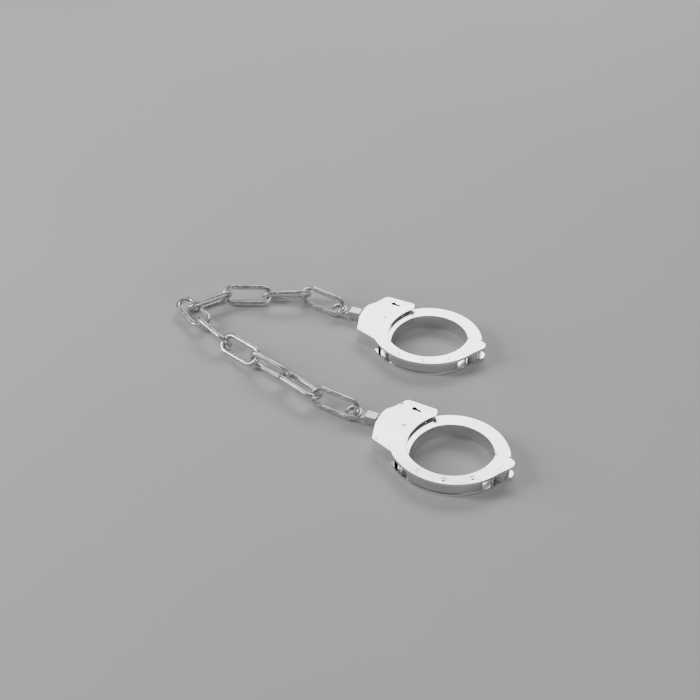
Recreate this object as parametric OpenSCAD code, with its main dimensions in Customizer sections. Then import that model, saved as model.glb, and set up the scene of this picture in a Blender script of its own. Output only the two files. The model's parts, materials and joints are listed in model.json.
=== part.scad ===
// Pair of steel handcuffs joined by a ten-link chain, laid flat with the chain in a U-turn.
// Each cuff has its own frame: the origin is midway between the inner corners of the wrist
// opening on the rest plane, +X runs to the pivot side, +Y to the swinging arm, +Z up.

/* [Plates] */
// Thickness of each cheek plate
cheek_t = 2.2; // [1.6:0.1:3]
// Gap between the two cheek plates
gap_t = 6.8; // [6.4:0.1:8]
// Running clearance above and below the arm between the cheeks
side_play = 0.2; // [0.1:0.05:0.3]

/* [Wrist opening] */
// Radius of the front of the opening, cut in the cheeks
front_in_r = 30.4; // [30:0.1:31]
// Outer radius of the fixed front bow
front_out_r = 42.5; // [42:0.1:43]
// Inner radius of the swinging arm
arm_in_r = 27.2; // [26.8:0.1:27.6]
// Outer radius of the swinging arm
arm_out_r = 36.9; // [36.5:0.1:37.2]

/* [Arm] */
// Bore in the arm for the pivot rivet
pivot_bore_d = 5.1; // [5.06:0.02:5.2]
// Diameter of the pivot rivet
pivot_d = 5; // [4:0.1:5]
// Radius of the pivot lug on the cheeks
lug_r = 11.1; // [10.5:0.1:11.1]
// Number of ratchet teeth
tooth_count = 26; // [16:1:30]
// Depth of the ratchet teeth
tooth_depth = 1.2; // [0.8:0.1:1.4]

/* [Lock] */
// Diameter of the round part of the keyhole
keyhole_d = 3.4; // [3:0.1:4]
// Diameter of the key post
key_post_d = 1.8; // [1.2:0.1:2.2]
// Diameter of the pawl pin
pawl_pin_d = 2.4; // [2:0.1:3]
// Running clearance of the pawl round its pin, on the diameter
pawl_play = 0.1; // [0.05:0.01:0.15]
// Diameter of the flush frame rivets
rivet_d = 2.6; // [2:0.1:3]

/* [Swivel] */
// Diameter of the swivel shank
shank_d = 5.2; // [4.5:0.1:5.4]
// Running clearance of the shank in its bore, on the diameter
shank_play = 0.12; // [0.06:0.02:0.16]
// Diameter of the collar that keeps the shank in the frame
collar_d = 6.6; // [6.2:0.1:6.6]
// Outer diameter of the eye
eye_d = 12.2; // [11.8:0.1:12.2]
// Hole in the eye
eye_hole_d = 8.8; // [8.8:0.1:9]
// Thickness of the eye
eye_t = 3; // [2.6:0.1:3]

/* [Chain] */
// Wire diameter of a link
wire_d = 3.8; // [3.4:0.1:3.8]
// Inside width of a link
link_in_w = 8.6; // [8.6:0.1:9]
// Inside length of a link
link_in_l = 30.6; // [30.6:0.1:31]
// Slack between two links where they meet
link_slack = 0.6; // [0.5:0.05:0.7]
// Butt seam left open in the side of each link
seam_w = 0.25; // [0.1:0.05:0.4]

/* [Layout] */
// Place of the near cuff
near_at = [78.38, -79.78]; // [-200:0.01:200]
// Turn of the near cuff
near_turn = -1.5; // [-2:0.1:2]
// Turn of the far cuff
far_turn = 1.3; // [-2:0.1:2]
// Heading of each link, from the near cuff to the far one
headings = [150.2, 135.7, 140.5, 136.7, 129.2, 124.4, 30.7, 0.0, 0.3, -32.4];
// Tilt of each link about its own length, away from lying flat
tilts = [-61, 22.2, 81.7, -40.2, 53.7, -7.2, -51.8, 54.1, -47.3, 59.9];
// Height of each contact, from the near eye to the far eye
heights = [7.2, 8.2, 8.03, 8.21, 6.97, 6.96, 6.74, 7.37, 6.98, 8.2, 7.13];

/* [Hidden] */
$fn = 64;
total_t = gap_t + 2 * cheek_t;
mid_z = total_t / 2;
gap_z = [cheek_t, cheek_t + gap_t];

front_in_c = [0, 12.1];
front_out_c = [1.2, 16.5];
arm_in_c = [1.3, 2.6];
arm_out_c = [1.4, 2.1];
left_in_c = [7.14, -3.16];
left_in_r = 34.99;
concave_c = [8.5, 3.8];
concave_r = 38.5;
rim_c = [5.3, -1.7];
rim_r = 35.6;
pivot = [30.2, -9.6];

// The arm's full-height part keeps outside the lug; its rim keeps inside the lock's tip.
arm_gap = 0.2;
rim_reach = 61.3;
groove_end_at = [-10.4, 33.4];
groove_end_r = 2.6;
web_reach = 67.6;
tooth_r = 35.8;
tooth_from = 100;
tooth_to = 186;
tongue_r = 4.5;

// Corners of the lock body, clockwise from the bottom, and the radius of each
body_points = [[-38.8, 3], [-51.4, 15.1], [-49.3, 30.2], [-45.2, 39.8], [-42.3, 43.9], [-36.6, 46.8],
    [-27.6, 54], [-7.4, 44.2], [-8.6, 38.4]];
body_radii = [0, 0.6, 2, 1, 1, 3, 3, 2.6, 0];
pocket_points = [[-48.4, 17.2], [-46.6, 29.6], [-45.4, 33.4], [-42.5, 40.7], [-40.6, 42.2], [-35.4, 44.6],
    [-27.4, 50.8], [-11, 42.6], [-8, 20], [-20, -14], [-34, -8], [-38.2, 6.2]];
keyhole_at = [-23.2, 44.9];
keyslot_at = [-19.4, 42.1];
keyslot_r = 0.9;
key_post_h = 6;
frame_rivets_at = [[-32.6, 47.9], [-48.2, 14.9], [-13.2, 45]];
rivet_boss_d = 5.2;
bow_rivet_angles = [230, 260, 291];
spacer_angles = [220.5, 300];
spacer_inset = 0.6;

pawl_pivot = [-30.5, 28.5];
pawl_lift = 6;
pawl_hub_r = 3.2;
pawl_teeth = [18, 19, 20, 21];
swivel_angle = 157;
swivel_root = [-46.9, 38.7];
swivel_reach = 18.6;
eye_local = swivel_root + swivel_reach * [cos(swivel_angle), sin(swivel_angle)];
collar_l = 1.8;
collar_in = 3.6;

link_pitch = link_in_l - link_slack;
crown_r = (link_in_w + wire_d) / 2;
rail_half = (link_in_l + wire_d) / 2 - crown_r;
eye_slack = 0;
// At the sharp bend, link 7 hooks on the side of link 6's end and not on its middle.
bend_link = 6;
bend_hook = [6.64, -7.08];

// Points along an arc, with chords of three degrees or about half a millimetre
function arc(c, r, a0, a1) = let(n = ceil(abs(a1 - a0) / max(3, 30 / r)))
    [for (k = [0:n]) c + along(a0 + (a1 - a0) * k / n, r)];
// The direction from one point to another
function bearing(from, to) = atan2(to.y - from.y, to.x - from.x);
// A corner of a polygon, with its two neighbours, rounded by short chords
function corner(p, q, n, r) = let(
        u = (p - q) / norm(p - q),
        v = (n - q) / norm(n - q),
        half = acos(u * v) / 2,
        c = q + (u + v) / norm(u + v) * r / sin(half),
        a0 = bearing(c, q + u * r / tan(half)),
        turn = ((bearing(c, q + v * r / tan(half)) - a0 + 540) % 360) - 180)
    [for (k = [0:5]) c + along(a0 + turn * k / 5, r)];
// The points of a polygon, with each corner rounded to its own radius
function rounded(points, radii) = let(n = len(points)) [for (i = [0:n - 1])
    each radii[i] > 0
        ? corner(points[(i + n - 1) % n], points[i], points[(i + 1) % n], radii[i])
        : [points[i]]];

function body_corners() = rounded(body_points, body_radii);
function beside_rim() = concat(arc(concave_c, concave_r, 116.9, 175), [[-27.8, 0.2]]);
function front_in_arc() = arc(front_in_c, front_in_r, 204, 336);
function lug_corners() = concat(
    arc(pivot, lug_r, 100, 24),
    corner([40.6, -4], [39.4, -8.8], [29.8, -15.4], 3));
function front_out_arc() = arc(front_out_c, front_out_r, -48.5, -160.5);
function turned(p, a) = [p.x * cos(a) - p.y * sin(a), p.x * sin(a) + p.y * cos(a)];
function along(a, l) = [l * cos(a), l * sin(a)];
// Height gained over a link, and the level length left of its pitch
function rise(i) = heights[i + 1] - heights[i];
function level(i) = sqrt(link_pitch * link_pitch - rise(i) * rise(i));
function eye_near() = near_at + turned(eye_local, near_turn);
function link_start(i) = i == 0
    ? eye_near() + along(headings[0], eye_slack)
    : link_end(i - 1) + (i == bend_link ? bend_hook : [0, 0]);
function link_end(i) = link_start(i) + along(headings[i], level(i));
function eye_far() = link_end(9) + along(headings[9], eye_slack);
far_at = eye_far() - turned(eye_local, far_turn);
function tooth_step() = (tooth_to - tooth_from) / tooth_count;
function tooth_at(i, r) = arm_in_c + along(tooth_from + i * tooth_step(), r);
// Saw teeth, steep on the side that stops the arm from opening
function tooth_points() = [for (i = [0:tooth_count - 1], k = [0, 1])
    tooth_at(i + k * 0.15, tooth_r - (1 - k) * tooth_depth)];
// Teeth of the pawl, each filling the gap before one of the arm's teeth with a little play
function pawl_teeth_points() = [for (i = pawl_teeth, k = [0, 1, 2])
    tooth_at(i - [0.7, 0.12, 0.04][k], tooth_r + (k == 1 ? 0.25 - tooth_depth : 0.4))];
// Back of the pawl, from its toothed end round to the hub, the tail and the hub's other side
function pawl_back() = concat(
    [tooth_at(21.4, tooth_r + 0.6), tooth_at(21.3, tooth_r + 2.8), tooth_at(18, tooth_r + 3.6)],
    arc(pawl_pivot, pawl_hub_r, 200, 130),
    arc(pawl_pivot + [4, 11], 1.5, 150, 0),
    arc(pawl_pivot, pawl_hub_r, 5, -70),
    [tooth_at(16.6, tooth_r + 1)]);
spring_points = [[-46.69, 29], [-47.99, 20], [-40, 11.9], [-39.75, 12.35], [-47.4, 20.15], [-46.2, 29]];

module near_cuff() {
    translate([near_at.x, near_at.y, 0]) rotate(near_turn) children();
}

module far_cuff() {
    translate([far_at.x, far_at.y, 0]) rotate(far_turn) children();
}

module disc(c, r) {
    translate(c) circle(r = r, $fn = 128);
}

// Outline of both cheeks: lock body, the curve beside the arm's rim, wrist opening, lug and bow
module cheek_outline() {
    polygon(concat(body_corners(), beside_rim(), front_in_arc(), lug_corners(), front_out_arc()));
}

// Outline of the lock body alone, closed behind the arm's teeth
module body_shape() {
    polygon(concat(body_corners(), [[-12, 20], [-26, 0], [-34, -2]]));
}

module through(h0, h1) {
    translate([0, 0, h0]) linear_extrude(h1 - h0) children();
}

module rivet_holes(d) {
    for (p = frame_rivets_at) disc(p, d / 2);
    for (a = bow_rivet_angles) disc(bow_mid(a), d / 2);
}

function bow_mid(a) = front_in_c + along(a, front_in_r + 4.6);

module bottom_cheek() {
    through(0, cheek_t) difference() {
        cheek_outline();
        rivet_holes(rivet_d);
        disc(pivot, pivot_d / 2);
        disc(pawl_pivot, pawl_pin_d / 2);
        disc(keyhole_at, key_post_d / 2);
    }
}

module top_cheek() {
    through(total_t - cheek_t, total_t) difference() {
        cheek_outline();
        rivet_holes(rivet_d);
        disc(pivot, pivot_d / 2);
        disc(pawl_pivot, pawl_pin_d / 2);
        keyhole();
    }
}

module keyhole() {
    dir = bearing(keyhole_at, keyslot_at);
    side = asin(2 * keyslot_r / keyhole_d);
    polygon(concat(arc(keyhole_at, keyhole_d / 2, dir + side, dir + 360 - side),
        arc(keyslot_at, keyslot_r, dir - 90, dir + 90)));
}

module lock_frame() {
    difference() {
        through(gap_z[0], gap_z[1]) difference() {
            body_shape();
            disc(pivot, web_reach);
            difference() {
                polygon(pocket_points);
                for (p = frame_rivets_at) disc(p, rivet_boss_d / 2);
            }
            for (p = frame_rivets_at) disc(p, rivet_d / 2);
        }
        translate([swivel_root.x, swivel_root.y, mid_z]) rotate(swivel_angle) rotate([0, 90, 0])
            cylinder(d = shank_d + shank_play, h = 24, center = true);
    }
}

module bow_spacer() {
    through(gap_z[0], gap_z[1]) difference() {
        intersection() {
            disc(front_out_c, front_out_r - spacer_inset);
            polygon(concat([front_in_c], arc(front_in_c, 60, spacer_angles[0], spacer_angles[1])));
        }
        disc(front_in_c, front_in_r + 0.8);
        for (a = bow_rivet_angles) disc(bow_mid(a), rivet_d / 2);
    }
}

module frame_rivets() {
    for (p = frame_rivets_at) translate(p) cylinder(d = rivet_d, h = total_t);
    for (a = bow_rivet_angles) translate(bow_mid(a)) cylinder(d = rivet_d, h = total_t);
}

module pivot_rivet() {
    translate(pivot) cylinder(d = pivot_d, h = total_t);
}

// Full-height part of the arm: the back of the ring, round the lug at one end and thinned to a
// rim beside the lock at the other, with the round end of the groove between the two
module arm_full() {
    polygon(concat(
        arc(pivot, lug_r + arm_gap, 98.8, 58.2),
        arc(arm_out_c, arm_out_r, -3.2, 106.6),
        arc(groove_end_at, groove_end_r, 90, -90),
        arc(rim_c, rim_r, 116.2, 148.8),
        arc(pivot, rim_reach, 154.6, 164.2),
        arc(left_in_c, left_in_r, 174.4, 119.3),
        arc(arm_in_c, arm_in_r, 113, -2.2)));
}

// Toothed web that runs between the cheeks
module arm_web() {
    polygon(concat(
        [tooth_at(-3, tooth_r - tooth_depth)],
        tooth_points(),
        [tooth_at(tooth_count, tooth_r - tooth_depth), tooth_at(tooth_count + 1.2, 33.4)],
        arc(left_in_c, left_in_r + 0.8, 180, 110)));
}

// Tongue round the pivot, between the cheeks
module arm_tongue() {
    difference() {
        union() {
            disc(pivot, tongue_r);
            intersection() {
                disc(arm_out_c, arm_out_r);
                polygon([for (p = [[-8, -1], [4.4, -1], [8.6, 7], [12, 22], [-8, 22]]) pivot + p]);
            }
        }
        disc(arm_in_c, arm_in_r + 0.3);
        disc(front_in_c, front_in_r + 0.3);
    }
}

module ratchet_arm() {
    difference() {
        union() {
            through(0.05, total_t - 0.05) arm_full();
            through(gap_z[0] + side_play, gap_z[1] - side_play) arm_web();
            through(gap_z[0] + side_play, gap_z[1] - side_play) arm_tongue();
        }
        translate(pivot) cylinder(d = pivot_bore_d, h = total_t);
    }
}

// Rocking pawl: teeth below its pin and a tail beside the keyhole above it. It is stored lifted
// clear of the arm's teeth, as the key holds it, and falls into them by pawl_lift degrees.
module pawl() {
    through(gap_z[0] + side_play, gap_z[1] - side_play)
        translate(pawl_pivot) rotate(-pawl_lift) translate(-pawl_pivot) difference() {
            polygon(concat(pawl_teeth_points(), pawl_back()));
            disc(pawl_pivot, (pawl_pin_d + pawl_play) / 2);
        }
}

module pawl_pin() {
    translate(pawl_pivot) cylinder(d = pawl_pin_d, h = total_t);
}

// Bent leaf spring set against the frame's wall, behind the toothed end of the pawl
module pawl_spring() {
    through(gap_z[0] + 1, gap_z[1] - 1) polygon(spring_points);
}

module key_post() {
    translate(keyhole_at) cylinder(d = key_post_d, h = key_post_h);
}

// Eye, neck, shank and collar, made along +X from the root and turned into place
module swivel() {
    translate([swivel_root.x, swivel_root.y, mid_z]) rotate(swivel_angle) {
        difference() {
            union() {
                translate([swivel_reach, 0, 0]) eye_ring();
                swivel_neck();
            }
            translate([swivel_reach, 0, -eye_t]) cylinder(d = eye_hole_d, h = 2 * eye_t);
        }
        translate([-collar_in, 0, 0]) rotate([0, 90, 0]) cylinder(d = shank_d, h = collar_in + 4);
        translate([-collar_in - collar_l, 0, 0]) rotate([0, 90, 0]) cylinder(d = collar_d, h = collar_l);
    }
}

module eye_ring() {
    round_r = 0.8;
    rotate_extrude($fn = 96) difference() {
        translate([0.1, -eye_t / 2]) square([eye_d / 2 - 0.1, eye_t]);
        for (s = [-1, 1]) translate([eye_d / 2 - round_r, s * (eye_t / 2 - round_r)]) difference() {
            translate([0, s > 0 ? 0 : -2]) square([2, 2]);
            circle(r = round_r);
        }
    }
}

// Neck between the shank and the eye, thinned to the eye's thickness at its far end
module swivel_neck() {
    neck_t = 6.2;
    difference() {
        translate([0, 0, -neck_t / 2]) linear_extrude(neck_t)
            polygon([[1.4, -3.1], [1.4, 3.1], [11, 3.3], [swivel_reach - 1.6, 5.6],
                [swivel_reach - 1.6, -5.6], [11, -3.3]]);
        for (s = [-1, 1]) translate([9, 0, s * eye_t / 2]) rotate([0, s * 14, 0])
            translate([0, -8, s < 0 ? -4 : 0]) cube([14, 16, 4]);
        for (s = [-1, 1]) translate([12.6, -8, s * eye_t / 2 - (s < 0 ? 4 : 0)]) cube([12, 16, 4]);
    }
}

module link_shape() {
    difference() {
        union() {
            for (s = [-1, 1]) {
                translate([0, s * crown_r, 0]) rotate([0, 90, 0])
                    cylinder(d = wire_d, h = 2 * rail_half, center = true, $fn = 48);
                translate([s * rail_half, 0, 0]) rotate(s > 0 ? -90 : 90)
                    rotate_extrude(angle = 180, $fn = 96) translate([crown_r, 0])
                        circle(d = wire_d, $fn = 48);
            }
        }
        translate([-seam_w / 2, crown_r - wire_d, -wire_d]) cube([seam_w, 2 * wire_d, 2 * wire_d]);
    }
}

// Link i of the chain, counted from 0 at the near cuff
module chain_link(i) {
    mid = (link_start(i) + link_end(i)) / 2;
    color("silver") translate([mid.x, mid.y, (heights[i] + heights[i + 1]) / 2])
        rotate([0, -asin(rise(i) / link_pitch), headings[i]]) rotate([tilts[i], 0, 0]) link_shape();
}

module near_bottom_cheek() { color("gainsboro") near_cuff() bottom_cheek(); }
module near_top_cheek() { color("gainsboro") near_cuff() top_cheek(); }
module near_lock_frame() { color("silver") near_cuff() lock_frame(); }
module near_bow_spacer() { color("darkgray") near_cuff() bow_spacer(); }
module near_frame_rivets() { color("gainsboro") near_cuff() frame_rivets(); }
module near_pivot_rivet() { color("gainsboro") near_cuff() pivot_rivet(); }
module near_ratchet_arm() { color("whitesmoke") near_cuff() ratchet_arm(); }
module near_pawl() { color("dimgray") near_cuff() pawl(); }
module near_pawl_pin() { color("gainsboro") near_cuff() pawl_pin(); }
module near_pawl_spring() { color("slategray") near_cuff() pawl_spring(); }
module near_key_post() { color("gray") near_cuff() key_post(); }
module near_swivel() { color("silver") near_cuff() swivel(); }
module far_bottom_cheek() { color("gainsboro") far_cuff() bottom_cheek(); }
module far_top_cheek() { color("gainsboro") far_cuff() top_cheek(); }
module far_lock_frame() { color("silver") far_cuff() lock_frame(); }
module far_bow_spacer() { color("darkgray") far_cuff() bow_spacer(); }
module far_frame_rivets() { color("gainsboro") far_cuff() frame_rivets(); }
module far_pivot_rivet() { color("gainsboro") far_cuff() pivot_rivet(); }
module far_ratchet_arm() { color("whitesmoke") far_cuff() ratchet_arm(); }
module far_pawl() { color("dimgray") far_cuff() pawl(); }
module far_pawl_pin() { color("gainsboro") far_cuff() pawl_pin(); }
module far_pawl_spring() { color("slategray") far_cuff() pawl_spring(); }
module far_key_post() { color("gray") far_cuff() key_post(); }
module far_swivel() { color("silver") far_cuff() swivel(); }

near_bottom_cheek();
near_top_cheek();
near_lock_frame();
near_bow_spacer();
near_frame_rivets();
near_pivot_rivet();
near_ratchet_arm();
near_pawl();
near_pawl_pin();
near_pawl_spring();
near_key_post();
near_swivel();
far_bottom_cheek();
far_top_cheek();
far_lock_frame();
far_bow_spacer();
far_frame_rivets();
far_pivot_rivet();
far_ratchet_arm();
far_pawl();
far_pawl_pin();
far_pawl_spring();
far_key_post();
far_swivel();
chain_link(0);  // chain_link_01
chain_link(1);  // chain_link_02
chain_link(2);  // chain_link_03
chain_link(3);  // chain_link_04
chain_link(4);  // chain_link_05
chain_link(5);  // chain_link_06
chain_link(6);  // chain_link_07
chain_link(7);  // chain_link_08
chain_link(8);  // chain_link_09
chain_link(9);  // chain_link_10
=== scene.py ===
"""Finishes, soft studio light and camera for the pair of handcuffs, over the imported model."""

import json
import math

import bpy
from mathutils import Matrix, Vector


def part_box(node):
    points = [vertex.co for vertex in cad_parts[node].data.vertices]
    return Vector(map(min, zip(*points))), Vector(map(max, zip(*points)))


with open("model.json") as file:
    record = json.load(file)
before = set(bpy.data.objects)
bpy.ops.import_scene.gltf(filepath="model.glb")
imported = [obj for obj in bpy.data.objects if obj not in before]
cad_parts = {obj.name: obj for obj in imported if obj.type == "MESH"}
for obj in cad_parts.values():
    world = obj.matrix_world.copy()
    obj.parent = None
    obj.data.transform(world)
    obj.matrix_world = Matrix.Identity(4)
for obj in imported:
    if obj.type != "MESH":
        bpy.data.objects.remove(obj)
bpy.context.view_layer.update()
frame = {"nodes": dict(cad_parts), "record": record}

# The camera's place from the near cuff's lowest corner, its tilt from looking straight down, and its lens
CAMERA_FROM_CUFF = Vector((-0.01446, -0.53187, 0.5506))
CAMERA_TILT = 51.0
CAMERA_LENS = 61.7
SENSOR_WIDTH = 36.0

FLOOR_SIZE = 8.0
WORLD_COLOUR = (0.55, 0.57, 0.62, 1)
WORLD_STRENGTH = 0.3

# Each light: its place, its width and height, and its power in watts
LIGHTS = {
    "far_softbox": ((0.3, 1.3, 1.05), (1.2, 0.6), 11),
    "left_softbox": ((-1.2, 0.1, 0.6), (0.3, 0.8), 10),
    "front_strip": ((0.7, -1.1, 0.35), (0.9, 0.12), 5),
}

# How far an edge is eased, in metres, and the least turn between faces that is eased, in degrees
WIDE_EDGE = 0.0003
MIDDLE_EDGE = 0.0002
FINE_EDGE = 0.00008
EDGE_SEGMENTS = 3
EDGE_ANGLE = 38
WELD_DISTANCE = 0.000002
FLAT_FACE_WEIGHT = 80


class Shader:
    """A node material with a Principled surface and a few short ways to add texture to it."""

    def __init__(self, name, metallic=1.0):
        self.material = bpy.data.materials.new(name)
        self.material.use_nodes = True
        self.nodes = self.material.node_tree.nodes
        self.links = self.material.node_tree.links
        self.surface = self.nodes["Principled BSDF"]
        self.surface.inputs["Metallic"].default_value = metallic
        self.coords = self.nodes.new("ShaderNodeTexCoord").outputs["Object"]
        self.normal = self.nodes.new("ShaderNodeNewGeometry").outputs["Normal"]

    def mapped(self, scale, turn=0.0):
        """Object coordinates, turned about Z by some degrees and then scaled."""
        turned = self.nodes.new("ShaderNodeMapping")
        turned.inputs["Rotation"].default_value = (0, 0, math.radians(turn))
        stretched = self.nodes.new("ShaderNodeMapping")
        stretched.inputs["Scale"].default_value = scale
        self.links.new(self.coords, turned.inputs["Vector"])
        self.links.new(turned.outputs["Vector"], stretched.inputs["Vector"])
        return stretched.outputs["Vector"]

    def noise(self, scale, detail=3.0, turn=0.0):
        """Noise with its own scale along each axis, in cycles per metre."""
        texture = self.nodes.new("ShaderNodeTexNoise")
        texture.inputs["Scale"].default_value = 1.0
        texture.inputs["Detail"].default_value = detail
        self.links.new(self.mapped(scale, turn), texture.inputs["Vector"])
        return texture.outputs["Fac"]

    def spread(self, value, low, high, to_low, to_high):
        """The value between low and high, mapped to another range and kept in it."""
        node = self.nodes.new("ShaderNodeMapRange")
        node.clamp = True
        self.links.new(value, node.inputs["Value"])
        node.inputs["From Min"].default_value = low
        node.inputs["From Max"].default_value = high
        node.inputs["To Min"].default_value = to_low
        node.inputs["To Max"].default_value = to_high
        return node.outputs["Result"]

    def math(self, operation, a, b):
        """One arithmetic step on two values, each a socket or a number."""
        node = self.nodes.new("ShaderNodeMath")
        node.operation = operation
        for socket, value in zip(node.inputs, (a, b)):
            if isinstance(value, (int, float)):
                socket.default_value = value
            else:
                self.links.new(value, socket)
        return node.outputs["Value"]

    def scratches(self, length, width, keep, turns):
        """Sparse fine lines in several directions: 1 in a scratch and 0 off it."""
        total = None
        for turn in turns:
            lines = self.noise((1 / length, 1 / width, 1 / length), detail=1.0, turn=turn)
            sharp = self.spread(lines, keep, keep + 0.05, 0.0, 1.0)
            total = sharp if total is None else self.math("MAXIMUM", total, sharp)
        return total

    def sides(self):
        """1 on upright faces and 0 on level ones."""
        parts = self.nodes.new("ShaderNodeSeparateXYZ")
        self.links.new(self.normal, parts.inputs["Vector"])
        return self.spread(self.math("ABSOLUTE", parts.outputs["Z"], 0.0), 0.3, 0.7, 1.0, 0.0)

    def colour(self, value, low, high):
        """Base colour blended between two tints by a value from 0 to 1."""
        node = self.nodes.new("ShaderNodeMix")
        node.data_type = "RGBA"
        node.inputs["A"].default_value = (*low, 1)
        node.inputs["B"].default_value = (*high, 1)
        self.links.new(value, node.inputs["Factor"])
        self.links.new(node.outputs["Result"], self.surface.inputs["Base Color"])

    def roughness(self, value):
        self.links.new(value, self.surface.inputs["Roughness"])

    def bump(self, value, depth, strength):
        """Relief of the given depth, in metres."""
        node = self.nodes.new("ShaderNodeBump")
        node.inputs["Distance"].default_value = depth
        node.inputs["Strength"].default_value = strength
        self.links.new(value, node.inputs["Height"])
        self.links.new(node.outputs["Normal"], self.surface.inputs["Normal"])


def nickel_plate():
    """Polished nickel: faint buffing haze, hairline scratches, and ground lines on the edges."""
    shader = Shader("nickel_plate")
    haze = shader.noise((90, 90, 90), detail=5.0)
    grime = shader.noise((26, 26, 26), detail=6.0)
    hairlines = shader.scratches(0.012, 0.00022, 0.69, (17, 68, 113, 161))
    grinding = shader.math("MULTIPLY", shader.noise((160, 160, 5200), detail=2.0), shader.sides())
    shader.colour(shader.spread(grime, 0.35, 0.75, 0, 1), (0.83, 0.82, 0.80), (0.70, 0.69, 0.665))
    rough = shader.spread(haze, 0.3, 0.75, 0.07, 0.17)
    rough = shader.math("ADD", rough, shader.math("MULTIPLY", hairlines, 0.12))
    rough = shader.math("ADD", rough, shader.math("MULTIPLY", grinding, 0.16))
    shader.roughness(rough)
    grooves = shader.math("MULTIPLY", hairlines, 0.5)
    relief = shader.math("SUBTRACT", shader.math("MULTIPLY", grinding, 0.7), grooves)
    waves = shader.math("MULTIPLY", shader.noise((210, 210, 210), detail=2.0), 0.9)
    shader.bump(shader.math("ADD", relief, waves), 0.00002, 0.5)
    return shader.material


def satin_steel():
    """Satin steel with close lines that run level round the part."""
    shader = Shader("satin_steel")
    lines = shader.noise((70, 70, 4200), detail=3.0)
    cloud = shader.noise((60, 60, 60), detail=5.0)
    shader.colour(shader.spread(lines, 0.3, 0.7, 0, 1), (0.50, 0.50, 0.49), (0.68, 0.68, 0.665))
    rough = shader.spread(lines, 0.3, 0.7, 0.26, 0.4)
    shader.roughness(shader.math("ADD", rough, shader.spread(cloud, 0.4, 0.8, 0.0, 0.1)))
    shader.bump(lines, 0.00006, 0.7)
    return shader.material


def chain_wire():
    """Bright plated wire: drawing lines, a dull film in places and small dings."""
    shader = Shader("chain_wire")
    film = shader.noise((140, 140, 140), detail=6.0)
    hairlines = shader.scratches(0.004, 0.00018, 0.64, (10, 55, 100, 145))
    dings = shader.spread(shader.noise((900, 900, 900), detail=2.0), 0.66, 0.74, 0, 1)
    shader.colour(shader.spread(film, 0.35, 0.7, 0, 1), (0.76, 0.75, 0.73), (0.52, 0.51, 0.49))
    rough = shader.spread(film, 0.3, 0.75, 0.11, 0.27)
    shader.roughness(shader.math("ADD", rough, shader.math("MULTIPLY", hairlines, 0.18)))
    shader.bump(shader.math("MULTIPLY", shader.math("ADD", hairlines, dings), -1.0), 0.00005, 0.6)
    return shader.material


def hard_steel():
    """Machined steel inside the lock, with cutter marks and an oily film."""
    shader = Shader("hard_steel")
    marks = shader.noise((2600, 240, 240), detail=2.0, turn=30)
    film = shader.noise((180, 180, 180), detail=5.0)
    shader.colour(shader.spread(film, 0.35, 0.7, 0, 1), (0.42, 0.42, 0.42), (0.27, 0.26, 0.25))
    shader.roughness(shader.spread(marks, 0.3, 0.7, 0.24, 0.46))
    shader.bump(marks, 0.00006, 0.6)
    return shader.material


def spring_steel():
    """Blued spring strip, straw-coloured in places."""
    shader = Shader("spring_steel")
    heat = shader.noise((260, 260, 120), detail=3.0)
    lines = shader.noise((200, 200, 5000), detail=2.0)
    shader.colour(shader.spread(heat, 0.35, 0.65, 0, 1), (0.16, 0.2, 0.3), (0.42, 0.33, 0.22))
    shader.roughness(shader.spread(lines, 0.3, 0.7, 0.22, 0.4))
    shader.bump(lines, 0.00003, 0.5)
    return shader.material


def floor_paint():
    """Pale matt floor with a trace of unevenness."""
    shader = Shader("pale_floor", metallic=0.0)
    cloud = shader.noise((5, 5, 5), detail=5.0)
    grain = shader.noise((420, 420, 420), detail=3.0)
    shader.colour(cloud, (0.66, 0.66, 0.655), (0.70, 0.70, 0.695))
    shader.roughness(shader.spread(grain, 0.3, 0.7, 0.6, 0.75))
    shader.bump(grain, 0.0001, 0.25)
    return shader.material


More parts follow.
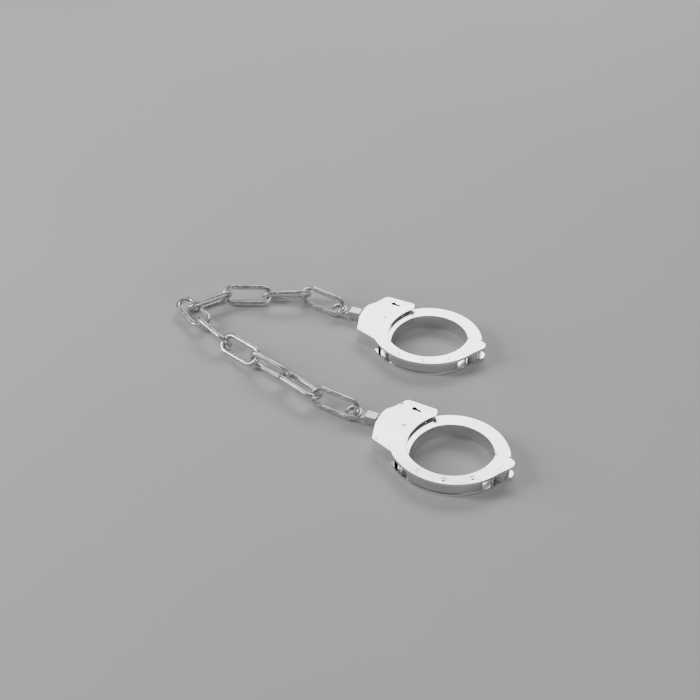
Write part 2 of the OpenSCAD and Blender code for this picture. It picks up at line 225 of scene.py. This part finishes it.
def finish_nodes():
    """Gives each CAD node its slot's material, eased edges and even shading."""
    makers = (nickel_plate, satin_steel, chain_wire, hard_steel, spring_steel)
    finishes = {maker.__name__: maker() for maker in makers}
    for part in frame["record"]["subparts"]:
        node = frame["nodes"][part["node"]]
        node.data.materials.clear()
        node.data.materials.append(finishes[part["material_slot"]])
        node.data.polygons.foreach_set("use_smooth", [True] * len(node.data.polygons))
        weld = node.modifiers.new("join_seams", "WELD")
        weld.merge_threshold = WELD_DISTANCE
        bevel = node.modifiers.new("eased_edges", "BEVEL")
        bevel.width = edge_width(part["node"])
        bevel.segments = EDGE_SEGMENTS
        bevel.limit_method = "ANGLE"
        bevel.angle_limit = math.radians(EDGE_ANGLE)
        bevel.use_clamp_overlap = True
        even = node.modifiers.new("even_shading", "WEIGHTED_NORMAL")
        even.weight = FLAT_FACE_WEIGHT


def edge_width(name):
    """More easing on the cheeks and arms, less on the chain, springs and rivets."""
    if "cheek" in name or "arm" in name:
        return WIDE_EDGE
    if "chain" in name or "spring" in name or "rivet" in name:
        return FINE_EDGE
    return MIDDLE_EDGE


def add_floor():
    bpy.ops.mesh.primitive_plane_add(size=FLOOR_SIZE, location=(0, 0, 0))
    floor = bpy.context.object
    floor.name = "floor"
    floor.data.materials.append(floor_paint())


def add_light(name, place, size, power):
    """A soft rectangular light that faces the middle of the set."""
    data = bpy.data.lights.new(name, "AREA")
    data.shape = "RECTANGLE"
    data.size, data.size_y = size
    data.energy = power
    light = bpy.data.objects.new(name, data)
    bpy.context.scene.collection.objects.link(light)
    light.location = place
    light.rotation_euler = (-Vector(place)).to_track_quat("-Z", "Y").to_euler()


def add_world():
    world = bpy.data.worlds.new("studio")
    world.use_nodes = True
    background = world.node_tree.nodes["Background"]
    background.inputs["Color"].default_value = WORLD_COLOUR
    background.inputs["Strength"].default_value = WORLD_STRENGTH
    bpy.context.scene.world = world


def add_camera():
    data = bpy.data.cameras.new("camera")
    data.sensor_width = SENSOR_WIDTH
    data.lens = CAMERA_LENS
    camera = bpy.data.objects.new("camera", data)
    bpy.context.scene.collection.objects.link(camera)
    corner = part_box("near_top_cheek")[0]
    camera.location = Vector((corner.x, corner.y, 0)) + CAMERA_FROM_CUFF
    camera.rotation_euler = (math.radians(CAMERA_TILT), 0, 0)
    bpy.context.scene.camera = camera


finish_nodes()
add_floor()
for light_name, (place, size, power) in LIGHTS.items():
    add_light(light_name, place, size, power)
add_world()
add_camera()
